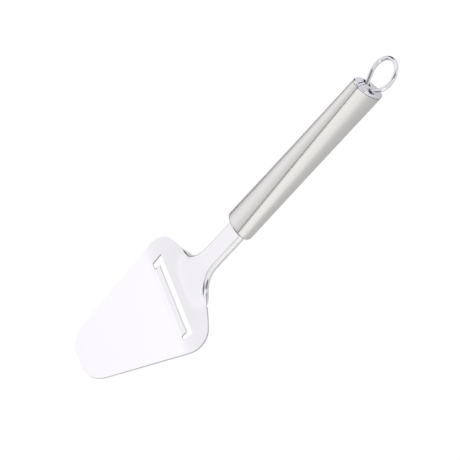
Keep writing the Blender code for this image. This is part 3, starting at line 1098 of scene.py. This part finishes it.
@dataclass
class HangingLoop:
    """The closed wire loop, drawn about its swing axis with x along the handle."""

    wire: float = 2.5
    radius: float = 9.5
    centre_reach: float = 10.7
    bend_radius: float = 1.8
    bar_half: float = 1.0
    bar_depth: float = 2.35
    rest_deg: float = 5.0
    swing_deg: float = 12.0
    clearance: float = 0.3
    opening_corner: float = 0.5
    sharp_deg: float = 60.0
    step_deg: float = 3.0
    least_steps: int = 4
    wire_sides: int = 28

    def leg(self) -> tuple[Vector, Vector, Vector]:
        """Lay a leg against the small bend and the large arc, with x from the cap's face.

        Returns:
            The bend's centre, the arc's centre and the leg's outward side.
        """
        small = Vector((self.bend_radius - self.bar_depth, self.bar_half, 0.0))
        large = Vector((self.centre_reach, 0.0, 0.0))
        along = (large - small).normalized()
        across = Vector((-along.y, along.x, 0.0))
        lean = (self.bend_radius - self.radius) / (large - small).length
        return small, large, along * lean + across * math.sqrt(1 - lean * lean)

    def opening(self, cap_face: float) -> Triple:
        """Size of the opening that one leg needs in the end cap.

        Args:
            cap_face: thickness of the cap's face.

        Returns:
            The opening's inner and outer side from the axis, and its half height.
        """
        small, large, side = self.leg()
        low = small + side * self.bend_radius
        high = large + side * self.radius
        half = self.wire / 2 / side.y
        slope = (high.y - low.y) / (high.x - low.x)
        inner = low.y + slope * (-cap_face - low.x) - half - self.clearance
        outer = low.y + slope * (0.0 - low.x) + half + self.clearance
        swing = math.radians(self.swing_deg)
        reach = self.bar_depth * math.tan(swing) + self.wire / 2 / math.cos(swing) + self.clearance
        return inner, outer, reach

    def build(self, frame: Matrix) -> Object:
        """Bend the wire: bar, small bend, leg and half of the large arc, mirrored.

        Args:
            frame: where the loop's frame lies, with its origin on the swing axis.

        Returns:
            The piece.
        """
        bm = bmesh.new()
        small, large, side = self.leg()
        shift = Vector((self.bar_depth, 0.0, 0.0))
        small, large = small + shift, large + shift
        row = draw_ring(bm, self.wire_sides, self.wire / 2, Matrix.Rotation(math.pi / 2, 4, "X"))
        row = self.pull(bm, row, Vector((0.0, self.bar_half, 0.0)))
        edge = math.atan2(side.y, side.x)
        row = self.bend(bm, row, small, math.pi - edge)
        row = self.pull(bm, row, (large + side * self.radius) - (small + side * self.bend_radius))
        self.bend(bm, row, large, edge)
        bmesh.ops.mirror(bm, geom=bm.verts[:] + bm.edges[:] + bm.faces[:], axis="Y", merge_dist=MERGE)
        bmesh.ops.remove_doubles(bm, verts=bm.verts[:], dist=MERGE)
        bmesh.ops.recalc_face_normals(bm, faces=bm.faces[:])
        return shaded_object("mirror_loop", bm, frame, self.sharp_deg)

    @staticmethod
    def pull(bm: BMesh, row: list[BMEdge], step: Vector) -> list[BMEdge]:
        """Extrude a ring straight on.

        Args:
            bm: the mesh.
            row: the ring's edges.
            step: how far it goes.

        Returns:
            The new ring's edges.
        """
        verts, row = extrude_row(bm, row)
        bmesh.ops.translate(bm, vec=step, verts=verts)
        return row

    def bend(self, bm: BMesh, row: list[BMEdge], centre: Vector, angle: float) -> list[BMEdge]:
        """Spin a ring round a bend of the wire.

        Args:
            bm: the mesh.
            row: the ring's edges.
            centre: the bend's centre.
            angle: how far the wire turns, clockwise from above.

        Returns:
            The last ring's edges.
        """
        verts = list(dict.fromkeys(v for e in row for v in e.verts))
        steps = max(self.least_steps, round(math.degrees(angle) / self.step_deg))
        spun = bmesh.ops.spin(bm, geom=verts + row, cent=centre, axis=(0.0, 0.0, -1.0), angle=angle,
                              steps=steps)
        return [item for item in spun["geom_last"] if isinstance(item, BMEdge)]


# Frames


@dataclass(frozen=True)
class RestFrames:
    """Where the blade's, the handle's and the loop's own frames lie, for points in millimetres."""

    blade: Matrix
    handle: Matrix
    loop: Matrix

    @classmethod
    def from_record(cls, record: dict[str, Any], blade: Blade, handle: Handle,
                    loop: HangingLoop) -> "RestFrames":
        """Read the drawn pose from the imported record.

        Args:
            record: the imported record, whose mount lies on the blade's underside.
            blade: the blade's sizes.
            handle: the handle's sizes.
            loop: the loop's sizes.

        Returns:
            The three frames.
        """
        mount = record["mounts"][0]
        tilt = Matrix.Rotation(math.atan2(-mount["axis"][0], -mount["axis"][2]), 4, "Y")
        scale = Matrix.Scale(MM, 4)
        root = Vector(mount["pos_m"]) - tilt @ (Vector((blade.mount_x, 0.0, -blade.sheet)) * MM)
        blade_frame = Matrix.Translation(root) @ tilt @ scale
        below = handle.axis_below_neck_top
        front = Vector((blade.handle_front_x + below * math.sin(blade.pitch), 0.0,
                        blade.neck_reach * math.sin(blade.pitch) - below * math.cos(blade.pitch)))
        pitch = Matrix.Rotation(-blade.pitch, 4, "Y")
        droop = Matrix.Rotation(math.radians(loop.rest_deg), 4, "Y")
        joint = Vector(record["behaviour"]["joints"][0]["pos_m"])
        return cls(
            blade=blade_frame,
            handle=blade_frame @ Matrix.Translation(front) @ pitch,
            loop=Matrix.Translation(joint) @ tilt @ pitch @ droop @ scale)


# Studio


@dataclass(frozen=True)
class TentStop:
    """One place of the light tent's wall: where it is, how bright it is and its tint."""

    place: float
    light: float
    tint: str = "FFFFFF"

    def radiance(self) -> Colour:
        """The wall's light in linear red, green and blue."""
        red, green, blue, _ = linear_colour(self.tint)
        return (red * self.light, green * self.light, blue * self.light, 1.0)


@dataclass(frozen=True)
class TentPanel:
    """A patch of the tent with a light of its own, such as the dark hole that the camera looks through.

    Its place is given along the slicer, as a direction's x, and round it, in degrees towards the camera from
    straight up.
    """

    x_low: float
    x_high: float
    turn_low: float
    turn_high: float
    light: float
    x_soft: float = 0.04
    turn_soft: float = 1.5

    @staticmethod
    def inside(tree: NodeTree, place: NodeSocket, low: float, high: float, soft: float) -> NodeSocket:
        """How far a place lies between two limits.

        Args:
            tree: the world's node tree.
            place: the socket that gives the place.
            low: the lower limit.
            high: the upper limit.
            soft: the width of each limit's edge.

        Returns:
            A socket that is 1 between the limits and 0 outside.
        """
        rise, fall = (
            add_node(tree, "ShaderNodeMapRange", {
                "Value": place, "From Min": limit - lead, "From Max": limit + lead},
                interpolation_type="SMOOTHSTEP").outputs[0]
            for limit, lead in ((low, soft), (high, -soft)))
        return add_node(tree, "ShaderNodeMath", {0: rise, 1: fall}, operation="MULTIPLY").outputs[0]

    def shade(self, tree: NodeTree, light: NodeSocket, x: NodeSocket, turn: NodeSocket) -> NodeSocket:
        """Lay the panel over the tent.

        Args:
            tree: the world's node tree.
            light: the tent's light so far.
            x: the direction's x.
            turn: the direction's turn towards the camera, in degrees.

        Returns:
            The tent's light with the panel.
        """
        along = self.inside(tree, x, self.x_low, self.x_high, self.x_soft)
        around = self.inside(tree, turn, self.turn_low, self.turn_high, self.turn_soft)
        share = add_node(tree, "ShaderNodeMath", {0: along, 1: around}, operation="MULTIPLY")
        mixed = add_node(tree, "ShaderNodeMix", {
            "Factor": share.outputs[0], "A": light, "B": (self.light, self.light, self.light, 1.0)},
            data_type="RGBA")
        return mixed.outputs["Result"]


@dataclass
class Studio:
    """A pale table in a light tent, and a long lens at the photograph's angle, with lengths in metres."""

    # The camera's axes and place, fitted to the photograph's outline
    right: Triple = (0.6729, -0.2757, -0.6864)
    up: Triple = (0.6498, 0.6637, 0.3705)
    back: Triple = (0.3534, -0.6954, 0.6258)
    location: Triple = (1.2124, -2.4069, 2.1763)
    lens: float = 500.0
    sensor_width: float = 36.0
    clip_end: float = 50.0
    floor_size: float = 6.0
    floor_colour: str = "F2F2F2"

    # The table's level to the camera, and then in the metal's mirrors, where painted shade darkens it near
    # the slicer and far behind it
    background: float = 1.06
    background_share: float = 0.92
    mirrored_near: float = 0.57
    mirrored_far: float = 0.96
    mirrored_reach: float = 0.08
    mirrored_share: float = 0.9
    mirrored_behind: float = 0.08
    behind_start: float = 0.12
    behind_end: float = 0.18
    behind_lead: float = 0.10
    lead_start: float = -0.045
    lead_end: float = -0.015
    slicer_half_length: float = 0.105
    end_falloff: float = 3.0

    # The tent round the slicer and along it; a later panel lies over an earlier one
    hoop: list[TentStop] = field(default_factory=lambda: [
        TentStop(-100.0, 0.45, "FAF9FF"), TentStop(-90.0, 0.48, "FAF9FF"), TentStop(-82.0, 0.76, "FCFBFF"),
        TentStop(-74.0, 1.0, "FDFCFF"), TentStop(-60.0, 1.06, "FDFCFF"), TentStop(-46.0, 1.06, "FDFCFF"),
        TentStop(-34.0, 1.10, "FDFCFE"), TentStop(-15.0, 1.05, "FCFBFC"), TentStop(10.0, 0.97, "FBFAFA"),
        TentStop(22.0, 0.90, "FBFAFA"), TentStop(36.0, 1.76, "FFFFFC"), TentStop(78.0, 1.84, "FFFFFC"),
        TentStop(90.0, 1.45, "FFFEFA"), TentStop(98.0, 1.04, "FFFEFA")])
    ends: list[TentStop] = field(default_factory=lambda: [
        TentStop(-1.0, 0.90), TentStop(-0.50, 0.93), TentStop(-0.445, 0.985), TentStop(-0.40, 0.90),
        TentStop(-0.30, 0.87), TentStop(-0.12, 0.895), TentStop(-0.09, 0.985), TentStop(-0.065, 1.11),
        TentStop(-0.045, 1.10), TentStop(-0.02, 1.055), TentStop(0.02, 1.01), TentStop(0.15, 0.98),
        TentStop(0.35, 0.97), TentStop(0.55, 0.95), TentStop(0.70, 0.95), TentStop(1.0, 0.88)])
    panels: list[TentPanel] = field(default_factory=lambda: [
        TentPanel(-0.10, 2.0, 30.0, 98.0, 0.90),
        TentPanel(-2.0, 0.20, 24.5, 33.0, 0.10, turn_soft=2.5),
        TentPanel(-0.30, 0.06, -108.0, -74.0, 0.40),
        TentPanel(0.05, 0.42, -108.0, -56.0, 0.02),
        TentPanel(-0.50, -0.08, 34.0, 86.0, 0.87),
        TentPanel(-0.07, 0.30, -72.0, -51.0, 0.03),
        TentPanel(0.06, 0.26, -10.0, 18.0, 0.10),
        TentPanel(0.20, 0.62, -10.0, 36.0, 0.18),
        TentPanel(0.62, 0.88, -14.0, 60.0, 0.42),
        TentPanel(0.74, 0.97, -40.0, 46.0, 1.05),
        TentPanel(0.54, 0.88, 64.0, 95.0, 0.06),
        TentPanel(0.97, 2.0, -200.0, 200.0, 0.06),
        TentPanel(-2.0, -0.85, -200.0, 200.0, 0.08)])

    def camera(self) -> None:
        """Place the camera."""
        data = bpy.data.cameras.new("portrait camera")
        data.lens = self.lens
        data.sensor_width = self.sensor_width
        data.clip_end = self.clip_end
        item = add_object("portrait camera", data)
        turn = Matrix((self.right, self.up, self.back)).transposed().to_4x4()
        item.matrix_world = Matrix.Translation(self.location) @ turn
        bpy.context.scene.camera = item

    def floor(self) -> None:
        """Lay the table: white to the camera, and shadowed by the slicer."""
        bm = bmesh.new()
        bmesh.ops.create_grid(bm, x_segments=1, y_segments=1, size=self.floor_size / 2)
        table = mesh_object("table", bm)
        material = bpy.data.materials.new("pale table")
        tree = cleared_tree(material)
        path = add_node(tree, "ShaderNodeLightPath").outputs
        gloss = add_node(tree, "ShaderNodeMath", {
            0: path["Is Glossy Ray"], 1: path["Is Transmission Ray"]}, operation="MAXIMUM")
        seen = add_node(tree, "ShaderNodeMath", {
            0: path["Is Camera Ray"], 1: self.background_share}, operation="MULTIPLY")
        share = add_node(tree, "ShaderNodeMath", {
            0: gloss.outputs[0], 1: self.mirrored_share, 2: seen.outputs[0]}, operation="MULTIPLY_ADD")
        level = add_node(tree, "ShaderNodeMix", {
            "Factor": path["Is Camera Ray"], "A": self.mirrored_level(tree), "B": self.background},
            data_type="FLOAT")
        plain = add_node(tree, "ShaderNodeBsdfDiffuse", {"Color": linear_colour(self.floor_colour)})
        glow = add_node(tree, "ShaderNodeEmission", {"Strength": level.outputs["Result"]})
        mixed = add_node(tree, "ShaderNodeMixShader", {
            0: share.outputs[0], 1: plain.outputs[0], 2: glow.outputs[0]})
        add_node(tree, "ShaderNodeOutputMaterial", {"Surface": mixed.outputs[0]})
        dress(table, material)

    def mirrored_level(self, tree: NodeTree) -> NodeSocket:
        """How bright the table glows in the slicer's mirrors, with painted shade: darker close by, for the
        slicer's shadow, and far behind the slicer.

        Args:
            tree: the table's node tree.

        Returns:
            The socket that gives the level.
        """
        place = add_node(tree, "ShaderNodeNewGeometry").outputs["Position"]
        x, y, _ = add_node(tree, "ShaderNodeSeparateXYZ", {0: place}).outputs
        along = add_node(tree, "ShaderNodeMath", {0: x}, operation="ABSOLUTE")
        past = add_node(tree, "ShaderNodeMath", {
            0: along.outputs[0], 1: self.slicer_half_length}, operation="SUBTRACT", use_clamp=True)
        clear = add_node(tree, "ShaderNodeMath", {
            0: past.outputs[0], 1: self.end_falloff}, operation="MULTIPLY")
        away = add_node(tree, "ShaderNodeCombineXYZ", {"X": clear.outputs[0], "Y": y})
        distance = add_node(tree, "ShaderNodeVectorMath", {0: away.outputs[0]}, operation="LENGTH")
        level = add_node(tree, "ShaderNodeMapRange", {
            "Value": distance.outputs["Value"], "From Max": self.mirrored_reach,
            "To Min": self.mirrored_near, "To Max": self.mirrored_far})
        lead = add_node(tree, "ShaderNodeMapRange", {
            "Value": x, "From Min": self.lead_start, "From Max": self.lead_end,
            "To Min": self.behind_lead, "To Max": 0.0})
        back = add_node(tree, "ShaderNodeMath", {0: y, 1: lead.outputs[0]}, operation="ADD")
        behind = add_node(tree, "ShaderNodeMapRange", {
            "Value": back.outputs[0], "From Min": self.behind_start, "From Max": self.behind_end,
            "To Min": 1.0, "To Max": self.mirrored_behind})
        both = add_node(tree, "ShaderNodeMath", {
            0: level.outputs[0], 1: behind.outputs[0]}, operation="MULTIPLY")
        return both.outputs[0]

    @staticmethod
    def wall(tree: NodeTree, stops: list[TentStop], low: float, high: float, place: NodeSocket) -> NodeSocket:
        """Colour the tent along one of its directions.

        Args:
            tree: the world's node tree.
            stops: the wall's stops.
            low: the place at the ramp's start.
            high: the place at the ramp's end.
            place: the socket that gives the place.

        Returns:
            The socket that gives the wall's light.
        """
        share = add_node(tree, "ShaderNodeMapRange", {"Value": place, "From Min": low, "From Max": high})
        ramp = add_node(tree, "ShaderNodeValToRGB", {"Fac": share.outputs[0]})
        elements = ramp.color_ramp.elements
        elements.remove(elements[-1])
        for i, stop in enumerate(stops):
            spot = (stop.place - low) / (high - low)
            element = elements[0] if i == 0 else elements.new(spot)
            element.position = spot
            element.color = stop.radiance()
        return ramp.outputs["Color"]

    def light_tent(self) -> None:
        """Light the scene from a tent: a hoop round the slicer, shaded to its ends, with panels over it."""
        world = bpy.data.worlds.new("light tent")
        bpy.context.scene.world = world
        tree = cleared_tree(world)
        place = add_node(tree, "ShaderNodeTexCoord").outputs["Generated"]
        x, y, z = add_node(tree, "ShaderNodeSeparateXYZ", {0: place}).outputs
        front = add_node(tree, "ShaderNodeMath", {0: y, 1: -1.0}, operation="MULTIPLY")
        turn = add_node(tree, "ShaderNodeMath", {0: front.outputs[0], 1: z}, operation="ARCTAN2")
        degrees = add_node(tree, "ShaderNodeMath", {0: turn.outputs[0]}, operation="DEGREES").outputs[0]
        both = add_node(tree, "ShaderNodeMix", {
            "Factor": 1.0, "A": self.wall(tree, self.hoop, -180.0, 180.0, degrees),
            "B": self.wall(tree, self.ends, -1.0, 1.0, x)}, data_type="RGBA", blend_type="MULTIPLY")
        light = both.outputs["Result"]
        for panel in self.panels:
            light = panel.shade(tree, light, x, degrees)
        tent = add_node(tree, "ShaderNodeBackground", {"Color": light})
        plain = add_node(tree, "ShaderNodeBackground", {"Color": linear_colour("FFFFFF")})
        seen = add_node(tree, "ShaderNodeLightPath").outputs["Is Camera Ray"]
        mixed = add_node(tree, "ShaderNodeMixShader", {0: seen, 1: tent.outputs[0], 2: plain.outputs[0]})
        add_node(tree, "ShaderNodeOutputWorld", {"Surface": mixed.outputs[0]})

    def build(self) -> None:
        """Set up the table, the light and the camera."""
        bpy.context.scene.view_settings.view_transform = "Standard"
        self.camera()
        self.floor()
        self.light_tent()


def main() -> None:
    """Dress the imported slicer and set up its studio."""
    logging.basicConfig(level=logging.INFO, format="%(name)s %(message)s")
    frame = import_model()
    blade, handle, loop = Blade(), Handle(), HangingLoop()
    frames = RestFrames.from_record(frame["record"], blade, handle, loop)
    sheet, edge, satin, mirror = (
        finish.material() for finish in (POLISHED_SHEET, BLANKED_EDGE_WITH_PAINTED_SHADE, SATIN_TUBE, MIRROR_STEEL))
    hand_over(blade.build(frames.blade), "blade", "slicer", "polished_steel", sheet, edge)
    hand_over(handle.build_tube(blade, frames.handle), "handle_tube", "slicer", "brushed_steel", satin)
    hand_over(handle.build_end_cap(loop, frames.handle), "end_cap", "slicer", "mirror_steel", mirror)
    hand_over(loop.build(frames.loop), "hanging_loop", "loop", "mirror_steel", mirror)
    dress(frame["nodes"]["tang_core"], NylonFinish().material())
    Studio().build()
    bpy.context.view_layer.update()


if __name__ == "__main__":
    main()
